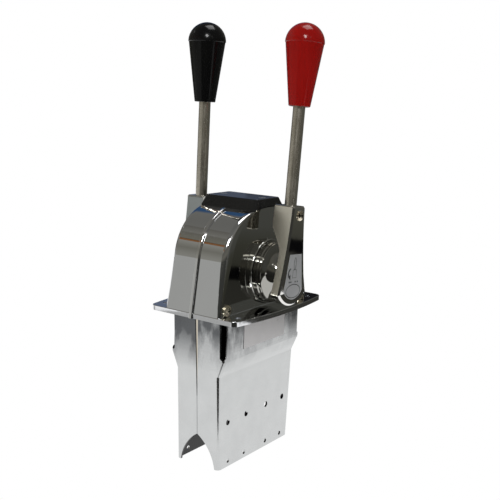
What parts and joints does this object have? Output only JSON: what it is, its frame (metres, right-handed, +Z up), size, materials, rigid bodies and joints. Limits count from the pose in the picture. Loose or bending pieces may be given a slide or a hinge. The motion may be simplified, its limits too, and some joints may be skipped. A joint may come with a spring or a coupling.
{
  "type": "boat throttle control lever",
  "caption": "Top-mount boat control: chrome housing on a flange, black shift lever and red throttle lever on side hubs, folded sheet frame hanging below for the cables.",
  "frame": {"origin": "middle of the flange's underside, on the console's surface, centred between its four holes", "axes": "+X across the control towards the throttle lever, -Y towards the pictured end face, +Z up along the levers"},
  "size_m": [0.1348, 0.1488, 0.4038],
  "materials": {
    "cast_chrome": "polished chrome plate on die casting",
    "lever_chrome": "polished chrome plate",
    "rib_chrome": "polished plate edge",
    "cap_plastic": "smooth moulded cover",
    "frame_sheet": "rolled stainless sheet",
    "fastener_steel": "stainless, machined",
    "foil": "bare satin foil",
    "label": "smooth printed film",
    "bush_bronze": "plain bearing bronze",
    "seal_rubber": "moulded rubber",
    "acetal": "machined acetal",
    "spring_steel": "drawn wire",
    "ball_steel": "ground ball",
    "rod_steel": "ground stainless bar",
    "shaft_steel": "turned stainless",
    "crank_steel": "zinc plated",
    "swivel_brass": "turned brass",
    "knob_black": "polished phenolic",
    "knob_red": "polished phenolic"
  },
  "bodies": {
    "base": {"housing_left": "cast_chrome", "housing_right": "cast_chrome", "centre_plate": "rib_chrome", "top_cap": "cap_plastic", "cap_screws": "fastener_steel", "side_screws": "fastener_steel", "frame_left": "frame_sheet", "frame_right": "frame_sheet", "frame_screws": "fastener_steel", "frame_foil": "foil", "shaft_bush_left": "bush_bronze", "shaft_bush_right": "bush_bronze", "shaft_seal_left": "seal_rubber", "shaft_seal_right": "seal_rubber", "centre_bush": "acetal", "detent_ball": "ball_steel", "detent_spring": "spring_steel", "detent_screw": "fastener_steel", "friction_shoe": "acetal", "friction_springs": "spring_steel", "friction_screw": "fastener_steel"},
    "shift_lever": {"shift_shaft": "shaft_steel", "shift_hub": "lever_chrome", "shift_arm": "lever_chrome", "shift_hub_screw": "fastener_steel", "shift_rod_screw": "fastener_steel", "shift_rod": "rod_steel", "shift_knob": "knob_black", "shift_label": "label", "shift_crank": "crank_steel", "shift_crank_pin": "spring_steel"},
    "shift_swivel": {"shift_cable_swivel": "swivel_brass", "shift_swivel_clip": "spring_steel"},
    "throttle_lever": {"throttle_shaft": "shaft_steel", "throttle_hub": "lever_chrome", "throttle_arm": "lever_chrome", "throttle_hub_screw": "fastener_steel", "throttle_rod_screw": "fastener_steel", "throttle_rod": "rod_steel", "throttle_knob": "knob_red", "throttle_label": "label", "throttle_crank": "crank_steel", "throttle_crank_pin": "spring_steel"},
    "throttle_swivel": {"throttle_cable_swivel": "swivel_brass", "throttle_swivel_clip": "spring_steel"}
  },
  "joints": [
    {"name": "shift_swing", "type": "hinge", "parent": "base", "child": "shift_lever", "pos_m": [-0.045, 0, 0.0369], "axis": [1, 0, 0], "range_deg": [-36, 36]},
    {"name": "throttle_swing", "type": "hinge", "parent": "base", "child": "throttle_lever", "pos_m": [0.045, 0, 0.0369], "axis": [1, 0, 0], "range_deg": [-43, 43]},
    {"name": "shift_swivel_turn", "type": "hinge", "parent": "shift_lever", "child": "shift_swivel", "pos_m": [-0.0111, -0.00077, -0.00709], "axis": [1, 0, 0], "continuous": true},
    {"name": "throttle_swivel_turn", "type": "hinge", "parent": "throttle_lever", "child": "throttle_swivel", "pos_m": [0.0111, -0.00353, -0.00696], "axis": [1, 0, 0], "continuous": true}
  ]
}
